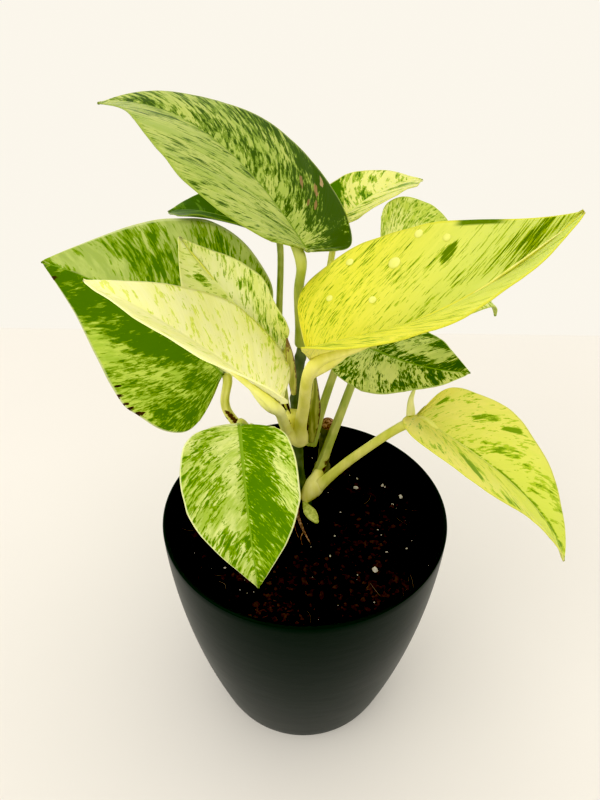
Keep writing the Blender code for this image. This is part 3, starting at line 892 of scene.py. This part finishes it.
def blade_shape(leaf, seed):
    """The upper face of the blade for shaped_grid, with the distances that its pattern follows."""
    length, width = leaf["size"][0] * MM, leaf["size"][1] * MM
    frames, first = midrib_frames(leaf)
    fold_left, fold_right = leaf["fold"]
    cup = math.radians(leaf["cup"])
    dice = random.Random(seed)
    phase = [dice.uniform(0, math.tau) for _ in range(6)]

    def outline(share, hand):
        """Where the edge is at each share of the blade, along it and out from its midrib."""
        lobe = leaf["size"][2] * np.sin(np.pi * np.minimum(share / LOBE_END, 1))
        bulge = np.maximum(np.sin(np.pi * share**BULGE_PLACE), 0) ** BULGE_FULLNESS
        wander = wave(*EDGE_WANDER, share, phase[0] + hand) + wave(*EDGE_FLUTTER, share, phase[1] - hand)
        edge_y = width / 2 * bulge * (1 - TIP_TAPER * share**TIP_TAPER_POWER) * (1 + wander * (1 - share))
        return length * (share**EDGE_PACE - lobe), edge_y

    def relief(share, out, y, hand):
        """How far the face stands above the plain fold: sunk veins and midrib, and slow waves."""
        reached = np.minimum(out / VEIN_START, 1)
        veins = np.sin(np.pi * (VEIN_PAIRS * share**VEIN_PACE + VEIN_OFFSET * hand))
        height = VEIN_DEPTH * (np.abs(veins) ** VEIN_SHARPNESS - 1) * reached * (1 - VEIN_FADE * out**3)
        height -= CHANNEL_DEPTH * hump(y, CHANNEL_WIDTH) * (1 - CHANNEL_FADE * share)
        waves = wave(*RELIEF_WAVE, share, phase[2] + 1.5 * hand)
        waves += wave(*RELIEF_FLUTTER, share, phase[3] * hand)
        height += waves * out**2 * np.minimum(share * WAVE_ENDS, 1) * np.minimum((1 - share) * WAVE_ENDS, 1)
        hollows = wave(*HOLLOW_WAVE, share, phase[4] + hand) * np.sin(out * HOLLOW_WAVE_OUT + phase[5])
        return height + hollows * reached

    def shape(u, v):
        share = u**STATION_PACE
        hand = np.where(v < 0.5, 1.0, -1.0)
        out = np.abs(1 - 2 * v) ** COLUMN_PACE
        edge_x, edge_y = outline(share, hand)
        rib = length * share ** leaf["veins"]
        bow = 2 * out * (1 - out)
        x = (1 - out) ** 2 * rib + bow * (rib + VEIN_MIDDLE_ALONG * (edge_x - rib)) + out**2 * edge_x
        y = bow * VEIN_MIDDLE_OUT * edge_y + out**2 * edge_y
        point, side, up = frame_at(frames, np.clip(x / length, 0, 1))
        point = point + first * np.minimum(x, 0)[:, None]
        fold = np.radians(np.where(hand > 0, fold_right, fold_left))
        reach = width / 2 / cup
        bent = cup * y / (width / 2)
        flat_out, flat_up = reach * np.sin(bent), reach * (1 - np.cos(bent))
        creased = np.sqrt(flat_out**2 + CREASE_SOFTNESS**2) - CREASE_SOFTNESS
        outward = flat_out * np.cos(fold) - flat_up * np.sin(fold)
        lifted = creased * np.sin(fold) + flat_up * np.cos(fold)
        tilt = fold + bent
        facing = up * np.cos(tilt)[:, None] - side * (hand * np.sin(tilt))[:, None]
        point = point + side * (hand * outward)[:, None] + up * lifted[:, None]
        point = point + facing * relief(share, out, y, hand)[:, None]
        return point, {"along": share * length, "across": hand * y, "edge": out}

    return shape


# The stalk's section, in shares of its radius and radians from its top, and the radii that it and the
# midrib below the blade run through.
GROOVE_DEPTH, GROOVE_WIDTH = 0.30, 0.5
WING_HEIGHT, WING_WIDTH, WING_TURN = 0.10, 0.3, 0.85
SHEATHED_WING_HEIGHT, SHEATHED_SHARE = 0.35, 0.6
BRACKET_HEIGHT, BRACKET_REACH = 0.15, 4.0
NECK_SWELL, NECK_PLACE, NECK_REACH = 0.05, 0.95, 0.08
FOOT_SWELL, FOOT_REACH = 0.25, 0.12
RIB_PLACES = np.array([0.0, 0.16, 0.32, 0.55, 0.94])
RIB_RADII = np.array([1.05, 0.62, 0.42, 0.28, 0.1])
RIB_DROPS = np.array([1.0, 0.8, 0.4, 0.15, 0.0])
RIB_SINK = 0.75
RIB_DROP = 0.2
KNEE = 2 * ROUTE_STEPS


def stalk_section(knee, bracket_reach):
    """A channel along the stalk's top between raised sides, and a bracket in the crook below the blade."""

    def swell(turn, place):
        from_top = np.minimum(turn, math.tau - turn)
        sheathed = np.clip(1 - place / (SHEATHED_SHARE * knee), 0, 1)
        channel = GROOVE_DEPTH * hump(from_top, GROOVE_WIDTH)
        wings = (WING_HEIGHT + SHEATHED_WING_HEIGHT * sheathed) * hump(from_top - WING_TURN, WING_WIDTH)
        bracket = BRACKET_HEIGHT * hump(place - knee, bracket_reach) * (0.5 - 0.5 * np.cos(turn))
        return 1 - channel + wings + bracket

    return swell


def add_blade(name, leaf, paint):
    """The blade: its upper face, given a thickness and a finish for each side."""
    blade = shaped_grid(BLADE_STATIONS, BLADE_COLUMNS, blade_shape(leaf, name))
    thick = blade.modifiers.new("Thickness", "SOLIDIFY")
    thick.thickness = BLADE_THICKNESS
    thick.offset = -1
    thick.material_offset = 1
    thick.material_offset_rim = 0
    blade.data.materials.append(leaf_finish(name + "_top", leaf, paint, False))
    blade.data.materials.append(leaf_finish(name + "_below", leaf, paint, True))
    bpy.context.view_layer.objects.active = blade
    bpy.ops.object.modifier_apply(modifier=thick.name)
    finish_piece(blade, name + "_blade", None, name)


def add_stalk(name, leaf, paint):
    """The stalk, which runs on under the blade as its midrib, and the web of skin in its crook."""
    frames = midrib_frames(leaf)[0]
    foot, neck = leaf["stalk"][0] * MM, leaf["stalk"][1] * MM
    point, _, up = frame_at(frames, RIB_PLACES)
    thin = neck * RIB_RADII
    sink = thin * RIB_SINK + BLADE_THICKNESS + CHANNEL_DEPTH * (1 - RIB_PLACES)
    sink += neck * leaf.get("drop", RIB_DROP) * RIB_DROPS
    points = np.vstack([over_soil([leaf["start"], leaf["via"]]), point - up * sink[:, None]])
    route = smooth_route(points, ROUTE_STEPS)
    length = marks_along(route)[-1]
    marks = marks_along(route) / length
    knee = marks[KNEE]

    def radius_at(place):
        down_stalk = foot + (neck - foot) * np.clip(place / knee, 0, 1)
        down_rib = np.interp(place, marks[KNEE::ROUTE_STEPS], thin)
        radius = np.where(place < knee, down_stalk, down_rib)
        swollen = 1 + NECK_SWELL * hump(place - knee * NECK_PLACE, NECK_REACH * knee)
        return radius * swollen * (1 + FOOT_SWELL * hump(place, FOOT_REACH * knee))

    section = stalk_section(knee, BRACKET_REACH * MM / length)
    stalk = shaped_grid(28, 120, tube_shape(route, radius_at, up[0], section))
    face_outwards(stalk)
    material = fleshy_finish(name + "_stalk_flesh", *paint["stalk"], leaf.get("bruises", ()))
    finish_piece(stalk, name + "_stalk", material, name)
    if "web" in leaf:
        before, after, radii = leaf["web"]
        low, high = route[KNEE - before], route[KNEE + after]
        crook = route[KNEE] * 0.5 + (low + high) * 0.25
        web_route = smooth_route([low, crook, high], 12)
        web = shaped_grid(24, 60, tube_shape(web_route, profile_radius(radii), up[0]))
        face_outwards(web)
        finish_piece(web, name + "_web", material, name)


def add_leaf(name, leaf, paint):
    """The blade and its stalk, as pieces that stand for the one CAD leaf.

    In leaf, base, start and via are where the blade begins, and where its stalk starts and passes. Size
    is the length, the width and the share of the length that the lobes reach back, and stalk the radius
    at each end. Lie is the heading, pitch and roll at the base. From there to the tip the midrib turns
    down by curl, aside by sweep and about itself by twist. Fold is how far the left and right halves
    lift, and cup how far each curves. Veins says how near the stalk they leave the midrib, and drop how
    far the stalk's end hangs below the blade. Web is how many steps of the route it spans each way, with
    its radii. Lengths are in millimetres, places are over the mix, and angles are in degrees.
    """
    add_blade(name, leaf, paint)
    add_stalk(name, leaf, paint)


# The marbling's patches, in millimetres along and across the blade.
PATCH, STREAK, FLECK = (12, 17), (3.4, 11), (1.1, 3.6)
WASH, BLUSH, SHEEN, RIDGE = (9, 16), (1.9, 6), (5, 9), (0.55, 9)
BELOW_SHARE = 0.45
HALF_APART = 7.3
TIP_RIB_WIDTH, FOOT_RIB_WIDTH = 0.20, 0.75
SCAR_LENGTH, SCAR_WIDTH = 1 / 1.7, 1 / 0.75


def leaf_finish(name, leaf, paint, below):
    """Marbling in three tones that runs out along the veins, with its own bias for each half and zone.

    In paint, tones are the pale, middle and deep ground, and steps the greenness at which the last two
    begin, with their softness. Blush is a second pale tone, and left_pale is both for a left half that
    has its own. Green is the greenness of the left and right halves, weights is how much the large
    patches, the streaks and the flecks change it, scale their size, and lean how far they slant. A zone
    is a place along and across, its reach each way and the greenness that it adds, and a scar is a place,
    its reach and its colour. Edging is where a deep line along the left edge begins and ends. Rib, rim,
    below, foot and tip are the colours of those parts, and seed shifts the pattern.
    """
    flesh = {"Specular IOR Level": 0.08, "Subsurface Weight": 0.3, "Subsurface Scale": 0.002}
    material, shader, start = new_finish(name, 0.4, flesh)
    along, across = attribute(start, "along") / MM, attribute(start, "across") / MM
    edge = attribute(start, "edge")
    share = along / leaf["size"][0]
    half = across.math("GREATER_THAN", across, 0.0)
    leaned = along - abs(across) * paint.get("lean", 0.0)
    parts = {0: leaned, 1: across, 2: half * HALF_APART + paint["seed"]}
    veined = start.node("ShaderNodeCombineXYZ", {}, parts)

    def sown(size, *character, scale=1):
        """Noise whose patches have this size, drawn out along the veins."""
        return veined.stretched(1 / size[0] / scale, 1 / size[1] / scale, 1).noise(1.0, *character)

    def distance_from(x, y, reach_x, reach_y):
        """The square of the distance from a place on the blade, in reaches."""
        offset_x, offset_y = (along - x) / reach_x, (across - y) / reach_y
        return offset_x * offset_x + offset_y * offset_y

    scale = paint.get("scale", 1)
    patch = sown(PATCH, 2.0, scale=scale)
    streak = sown(STREAK, 5.0, 0.66, 0.4, scale=scale)
    fleck = sown(FLECK, 3.0, 0.6, 0.3, scale=scale)
    left, right = paint["green"]
    greenness = left + half * (right - left)
    for value, weight in zip((patch, streak, fleck), paint["weights"]):
        greenness = greenness + (value - 0.5) * weight
    for *zone, amount in paint.get("zones", ()):
        greenness = greenness + distance_from(*zone).step(1.3, 0.2) * amount
    pale, middle, deep = paint["tones"]
    blush = (sown(WASH, 2.0) * 0.45 + sown(BLUSH, 4.0, 0.65) * 0.55).step(0.40, 0.60)
    colour = blush.blend(pale, paint["blush"])
    if "left_pale" in paint:
        colour = half.blend(blush.blend(*paint["left_pale"]), colour)
    if "foot" in paint:
        colour = ((1 - share).step(0.72, 0.98) * 0.7).blend(colour, paint["foot"])
    if "tip" in paint:
        colour = share.step(0.35, 1.0).blend(colour, paint["tip"])
    middle_from, deep_from, soft = paint.get("steps", (0.5, 0.61, 0.035))
    colour = greenness.step(middle_from, middle_from + soft).blend(colour, middle)
    colour = greenness.step(deep_from, deep_from + soft).blend(colour, deep)
    rib_width = FOOT_RIB_WIDTH - share * (FOOT_RIB_WIDTH - TIP_RIB_WIDTH)
    colour = (abs(across) / rib_width).step(1.15, 0.75).blend(colour, paint["rib"])
    colour = (edge.step(0.975, 0.99) * 0.8).blend(colour, paint.get("rim", paint["blush"]))
    if "edging" in paint:
        begins, ends = paint["edging"]
        band = along.step(begins, begins + 3) * (ends - along).step(0, 4) * edge.step(0.93, 0.96)
        colour = (band * (1 - half)).blend(colour, deep)
    if below:
        sides = {0: BELOW_SHARE, 6: colour, 7: paint["below"]}
        colour = start.node("ShaderNodeMix", {"data_type": "RGBA"}, sides, output=2)
    for x, y, reach, brown in paint.get("scars", ()):
        distance = distance_from(x, y, reach * SCAR_LENGTH, reach * SCAR_WIDTH) + (fleck - 0.5) * 4.0
        colour = distance.step(1.0, 0.6).blend(colour, brown)
    feed(shader, "Base Color", colour)
    feed(shader, "Roughness", (0.52 if below else 0.34) + (sown(SHEEN, 2.0) - 0.5) * 0.2)
    cells = place_in(start).noise(2600.0, 1.0)
    feed(shader, "Normal", bump(sown(RIDGE, 2.0) + cells * 0.25, 0.25, 0.00025))
    return material


PALE_STALK = ((0.70, 0.73, 0.13), (0.92, 0.89, 0.30))
GREEN_STALK = ((0.40, 0.48, 0.10), (0.66, 0.68, 0.24))

add_leaf(
    "leaf_right_long",
    {
        "base": (1, -12, 87), "start": (-2.2, 9.8, 38), "via": (-1, 2, 56), "stalk": (2.0, 1.9),
        "lie": (5, 19, 12), "size": (87, 67, 0.08), "curl": -40, "fold": (50, 41), "cup": -30,
        "twist": 33, "sweep": -6, "veins": 2.4, "web": (3, 9, (1.0, 2.6, 0.8)),
    },
    {
        "seed": 1.0, "tones": ((0.74, 0.71, 0.10), (0.36, 0.46, 0.03), (0.13, 0.22, 0.01)),
        "blush": (0.66, 0.66, 0.075), "rib": (0.70, 0.69, 0.11), "below": (0.94, 0.88, 0.38),
        "tip": (0.62, 0.70, 0.21), "green": (0.415, 0.42), "weights": (0.3, 0.6, 1.25), "scale": 0.75,
        "stalk": ((0.76, 0.74, 0.16), (0.93, 0.88, 0.36)),
        "zones": (
            (62, -14.5, 1.8, 2.4, 0.35), (72, -6, 8, 2.5, 0.10), (82, -4, 5, 4, 0.14),
            (62, -21, 12, 4, -0.12),
        ),
        "lean": 1.1, "edging": (60, 74), "foot": (0.76, 0.68, 0.06),
    },
)
add_leaf(
    "leaf_right_drooping",
    {
        "base": (38, -4, 60), "start": (3.6, 12.2, 9), "via": (19, 7, 32), "stalk": (2.2, 1.7),
        "lie": (-37, -13, 11), "size": (71, 55, 0.08), "curl": 50, "fold": (20, 22), "cup": -9,
        "twist": 1, "sweep": 13, "veins": 2.6,
    },
    {
        "seed": 2.0, "tones": ((0.74, 0.71, 0.18), (0.42, 0.54, 0.04), (0.20, 0.33, 0.015)),
        "blush": (0.68, 0.69, 0.15), "rib": (0.62, 0.66, 0.15), "below": (0.84, 0.83, 0.25),
        "tip": (0.62, 0.70, 0.12), "green": (0.415, 0.435), "weights": (0.3, 0.9, 0.8), "scale": 0.8,
        "foot": (0.72, 0.62, 0.09), "stalk": PALE_STALK,
        "zones": (
            (35.5, 18, 1.6, 5, 0.4), (14.5, -13, 1.4, 5, 0.4), (31.5, -16, 3, 5, 0.22),
            (37.5, -20, 1.4, 3, 0.4), (50, 0, 12, 1.4, 0.22), (62, 0, 9, 1.8, 0.3),
            (46, -10, 3, 4, 0.22), (56, -10, 8, 6, 0.08),
        ),
    },
)

# One lobe of the drooping leaf has stayed rolled up, and stands beside the stalk as a small pale horn of
# the same waxy skin.
ear_points = [(35.8, -5.2, 58.0), (35.3, -5.6, 62.5), (34.9, -5.2, 67), (35.7, -4.6, 71)]
ear = add_tube("ear", ear_points, profile_radius((1.5, 1.5, 1.0, 0.5)), 20, 50, section=sheath_section)
material = fleshy_finish("curled_lobe", (0.66, 0.70, 0.20), (0.86, 0.84, 0.40))
finish_piece(ear, "leaf_right_drooping_lobe", material, "leaf_right_drooping")

# Drops of water that cling to the longest leaf since it was sprayed, each one a flattened bead. The
# beads are opaque, and their pale yellow is painted light: the lit leaf seen through clear water, a
# little brighter than the blade round it. Each has its place along and across the leaf and its width,
# in millimetres.
DROPS = [(47, -21, 4.0), (51, -25, 2.8), (29, -29, 2.6), (44, -12, 2.4), (26, -18, 2.2), (60, -19, 2.4)]
DROP_FLATNESS = 4
blade = bpy.data.objects["leaf_right_long_blade"]
tags = {}
for tag in ("along", "across"):
    tags[tag] = np.empty(len(blade.data.vertices), np.float32)
    blade.data.attributes[tag].data.foreach_get("value", tags[tag])
on_top = np.arange(len(blade.data.vertices)) < len(blade.data.vertices) // 2


def drop_at(along, across, width):
    """Stands a flattened ball on the blade's nearest point."""
    offset = np.hypot(tags["along"] - along * MM, tags["across"] - across * MM)
    vertex = blade.data.vertices[int(np.argmin(np.where(on_top, offset, 1)))]
    radius = width / 2 * MM
    turn = vertex.normal.to_track_quat("Z", "Y").to_matrix().to_4x4()
    shape = turn @ Matrix.Diagonal((radius, radius, radius / DROP_FLATNESS, 1))
    return lambda point: vertex.co + shape @ point


drops = copies_of_ball(3, (drop_at(*drop) for drop in DROPS))
bpy.ops.object.shade_smooth()
# Painted light: the opaque drops are coloured like the lit leaf seen through water, paler than the blade.
material, shader, start = new_finish("water_drop_painted_light", 0.05, {"IOR": 1.33})
tone = place_in(start).noise(300.0, 1.0)
feed(shader, "Base Color", tone.blend((0.72, 0.74, 0.16), (0.84, 0.84, 0.30)))
finish_piece(drops, "leaf_right_long_drops", material, "leaf_right_long")


# The cream leaves. The least green of the young leaves, almost without the tissue that feeds them. Their
# few dashes of green are faint.
add_leaf(
    "leaf_left_cream",
    {
        "base": (-8, -15, 73), "start": (-7.4, 11.6, 39), "via": (-8, 1, 52), "stalk": (1.9, 1.8),
        "lie": (167, 34, -22), "size": (71, 52, 0.08), "curl": 14, "fold": (18, 17), "cup": 6,
        "twist": -23, "sweep": -2, "veins": 2.4, "web": (4, 10, (1.0, 2.8, 0.8)),
    },
    {
        "seed": 3.0, "tones": ((1.0, 0.97, 0.56), (0.80, 0.85, 0.22), (0.58, 0.70, 0.10)),
        "blush": (0.98, 0.96, 0.46), "rib": (0.97, 0.95, 0.50), "below": (0.94, 0.93, 0.46),
        "green": (0.40, 0.43), "weights": (0.4, 0.35, 1.1),
        "stalk": ((0.86, 0.86, 0.26), (0.95, 0.93, 0.45)),
    },
)
add_leaf(
    "leaf_middle_small",
    {
        "base": (-9, 14, 74), "start": (-9, 16, 50), "via": (-10, 15, 63), "stalk": (1.8, 1.4),
        "lie": (150, 30, 80), "size": (53, 41, 0.08), "curl": -40, "fold": (16, 30), "cup": 7,
        "twist": 31, "sweep": -22, "veins": 2.4,
    },
    {
        "seed": 4.0, "tones": ((0.82, 0.84, 0.44), (0.44, 0.56, 0.10), (0.14, 0.27, 0.015)),
        "blush": (0.72, 0.78, 0.30), "rib": (0.78, 0.83, 0.34), "below": (0.8, 0.84, 0.36),
        "green": (0.40, 0.47), "weights": (0.4, 0.9, 1.0), "scale": 0.8, "stalk": PALE_STALK,
        "zones": ((44, -3, 2.2, 1.8, 0.3),),
    },
)
add_leaf(
    "leaf_back_right",
    {
        "base": (10, 53, 107), "start": (0, 26, 34), "via": (5, 37, 70), "stalk": (1.6, 1.1),
        "lie": (40, 22, 11), "size": (48, 38, 0.08), "curl": 35, "fold": (10, 10), "cup": 11,
        "twist": 14, "sweep": 1, "veins": 2.4,
    },
    {
        "seed": 5.0, "tones": ((0.68, 0.69, 0.25), (0.34, 0.45, 0.05), (0.08, 0.19, 0.004)),
        "blush": (0.66, 0.68, 0.20), "rib": (0.62, 0.68, 0.2), "below": (0.7, 0.74, 0.3),
        "green": (0.49, 0.45), "weights": (0.4, 1.1, 0.7), "stalk": PALE_STALK,
        "zones": ((8, -14, 17, 15, 0.45),),
    },
)


# The marbled leaves, which give the variety its look: each half is sown with flecks and streaks of green
# that run out along the veins, from cream with a few of them to green with hardly a gap.
add_leaf(
    "leaf_front_heart",
    {
        "base": (-21, -20, 67), "start": (-5, 11, 10), "via": (-15, -2, 42), "stalk": (1.8, 0.95),
        "lie": (-81, -67, -9), "size": (58, 42, 0.08), "curl": 6, "fold": (20, 21), "cup": 18, "drop": 2.2,
        "twist": 3, "sweep": 4, "veins": 2.2,
    },
    {
        "seed": 6.0, "tones": ((0.73, 0.80, 0.33), (0.26, 0.41, 0.022), (0.115, 0.25, 0.004)),
        "blush": (0.44, 0.58, 0.10), "rib": (0.27, 0.42, 0.04), "below": (0.5, 0.6, 0.2),
        "green": (0.68, 0.50), "weights": (0.55, 0.95, 1.5), "scale": 0.66, "stalk": GREEN_STALK,
        "rim": (0.84, 0.88, 0.50), "steps": (0.50, 0.66, 0.05),
        "zones": (
            (26, -5, 26, 5, 0.09), (22, 4, 26, 3.5, -0.14), (20, -16, 13, 5, -0.22), (40, -12, 8, 6, 0.08),
        ),
    },
)
add_leaf(
    "leaf_top",
    {
        "base": (0, 12, 112), "start": (-2, 18, 75), "via": (-3, 19, 94), "stalk": (2.0, 1.7),
        "lie": (129, 35, -30), "size": (97, 71, 0.08), "curl": 51, "fold": (5, 16), "cup": -12,
        "twist": -18, "sweep": 25, "veins": 2.9, "drop": 0.7,
    },
    {
        "seed": 7.0, "tones": ((0.44, 0.50, 0.14), (0.17, 0.26, 0.025), (0.045, 0.10, 0.002)),
        "blush": (0.34, 0.43, 0.09), "rib": (0.22, 0.32, 0.04), "below": (0.4, 0.5, 0.2),
        "green": (0.425, 0.505), "weights": (0.5, 1.0, 1.3), "scale": 0.9, "stalk": GREEN_STALK,
        "steps": (0.47, 0.60, 0.06),
        "zones": (
            (20, 28, 20, 15, 0.28), (53, 28, 10, 5, 0.22), (38, 32, 14, 6, 0.22), (8, 12, 14, 14, 0.17),
            (35, 17, 22, 12, 0.13), (70, 20, 14, 5, 0.06),
        ),
        "scars": (
            (46, 20, 1.7, (0.26, 0.18, 0.07)), (37, 25, 2.2, (0.30, 0.20, 0.08)),
            (34, 31, 1.7, (0.40, 0.30, 0.16)), (36, 19, 1.7, (0.26, 0.17, 0.06)),
            (41, 16, 1.3, (0.22, 0.15, 0.05)),
        ),
    },
)
add_leaf(
    "leaf_back_hooked",
    {
        "base": (26, 36, 100), "start": (2, 22, 26), "via": (10, 27, 55), "stalk": (1.6, 1.2),
        "lie": (17, -7, -49), "size": (63, 48, 0.08), "curl": 55, "fold": (20, -4), "cup": -11,
        "twist": -53, "sweep": -19, "veins": 2.4,
    },
    {
        "seed": 8.0, "tones": ((0.72, 0.76, 0.29), (0.36, 0.48, 0.06), (0.18, 0.31, 0.02)),
        "blush": (0.50, 0.60, 0.10), "rib": (0.5, 0.6, 0.14), "below": (0.5, 0.6, 0.2),
        "green": (0.47, 0.47), "weights": (0.2, 0.5, 1.5), "scale": 0.7, "stalk": GREEN_STALK,
    },
)
add_leaf(
    "leaf_right_small",
    {
        "base": (21, 21, 73), "start": (4, 16, 9), "via": (12, 17, 40), "stalk": (2.0, 1.5),
        "lie": (-58, 8, -18), "size": (48, 34, 0.20), "curl": -11, "fold": (1, 0), "cup": -10,
        "twist": 8, "sweep": 15, "veins": 2.2, "bruises": ((9.8, 14.0, 21.5, 2.4), (8.6, 14.0, 18.0, 2.2)),
    },
    {
        "seed": 9.0, "tones": ((0.64, 0.70, 0.28), (0.18, 0.29, 0.03), (0.05, 0.13, 0.002)),
        "blush": (0.48, 0.58, 0.18), "rib": (0.22, 0.36, 0.04), "below": (0.4, 0.5, 0.2),
        "green": (0.62, 0.50), "weights": (0.6, 1.0, 1.2), "scale": 0.5, "stalk": GREEN_STALK,
        "zones": (
            (29, 6, 4, 4, -0.22), (40, 4, 9, 6, 0.12), (30, -7, 10, 3.2, -0.3), (22, -12, 8, 3, -0.12),
        ),
    },
)


# The green leaves. Two old leaves have gone back to green over most of a half. The broad one has lost a
# bit of its edge, and the small one stands at the back.
add_leaf(
    "leaf_left_broad",
    {
        "base": (-31, 15, 63), "start": (-6, 18, 14), "via": (-29.8, 18.8, 42), "stalk": (2.0, 1.6),
        "bruises": (
            (-30.4, 17.4, 44.0, 1.2), (-29.4, 17.4, 42.5, 1.3), (-28.5, 17.4, 41.1, 1.2),
            (-27.5, 17.4, 39.7, 1.3), (-26.5, 17.4, 38.2, 1.4), (-31.5, 18.0, 41.0, 1.0),
        ),
        "lie": (138, 22, 71), "size": (102, 86, 0.08), "curl": -8, "fold": (-12, -27), "cup": 19,
        "twist": 11, "sweep": 25, "veins": 3.4,
    },
    {
        "seed": 10.0, "tones": ((0.46, 0.54, 0.17), (0.22, 0.34, 0.022), (0.085, 0.19, 0.002)),
        "blush": (0.34, 0.43, 0.11), "rib": (0.2, 0.34, 0.03), "below": (0.3, 0.42, 0.1),
        "left_pale": ((0.50, 0.61, 0.12), (0.34, 0.48, 0.06)),
        "green": (0.53, 0.475), "weights": (0.6, 0.95, 1.1), "stalk": PALE_STALK,
        "rim": (0.62, 0.68, 0.34), "steps": (0.46, 0.60, 0.09),
        "zones": (
            (80, -8, 36, 12, 0.26), (30, -12, 20, 9, 0.12), (72, 18, 11, 12, 0.16), (93, 8, 12, 10, -0.12),
            (24, -30, 15, 12, 0.14), (45, 30, 16, 12, 0.10), (62, -27, 18, 5, -0.06),
        ),
        "scars": (
            (49, -41.5, 2.2, (0.04, 0.02, 0.010)), (44, -42.4, 2.0, (0.05, 0.025, 0.012)),
            (40, -42.6, 2.2, (0.04, 0.02, 0.010)), (35, -42.4, 2.5, (0.05, 0.025, 0.012)),
            (96.5, -6.0, 1.6, (0.05, 0.03, 0.015)), (54, -37, 1.1, (0.03, 0.02, 0.01)),
        ),
    },
)
add_leaf(
    "leaf_back_left",
    {
        "base": (-11, 55, 101), "start": (-8, 27, 30), "via": (-11, 36, 66), "stalk": (1.5, 1.1),
        "lie": (146, 6, -4), "size": (62, 45, 0.08), "curl": 25, "fold": (19, 19), "cup": 8,
        "twist": -21, "sweep": -1, "veins": 2.8,
    },
    {
        "seed": 11.0, "tones": ((0.30, 0.40, 0.06), (0.10, 0.20, 0.01), (0.045, 0.115, 0.003)),
        "blush": (0.24, 0.34, 0.05), "rib": (0.16, 0.26, 0.03), "below": (0.2, 0.3, 0.1),
        "green": (0.70, 0.70), "weights": (0.5, 0.9, 0.5), "stalk": GREEN_STALK,
    },
)
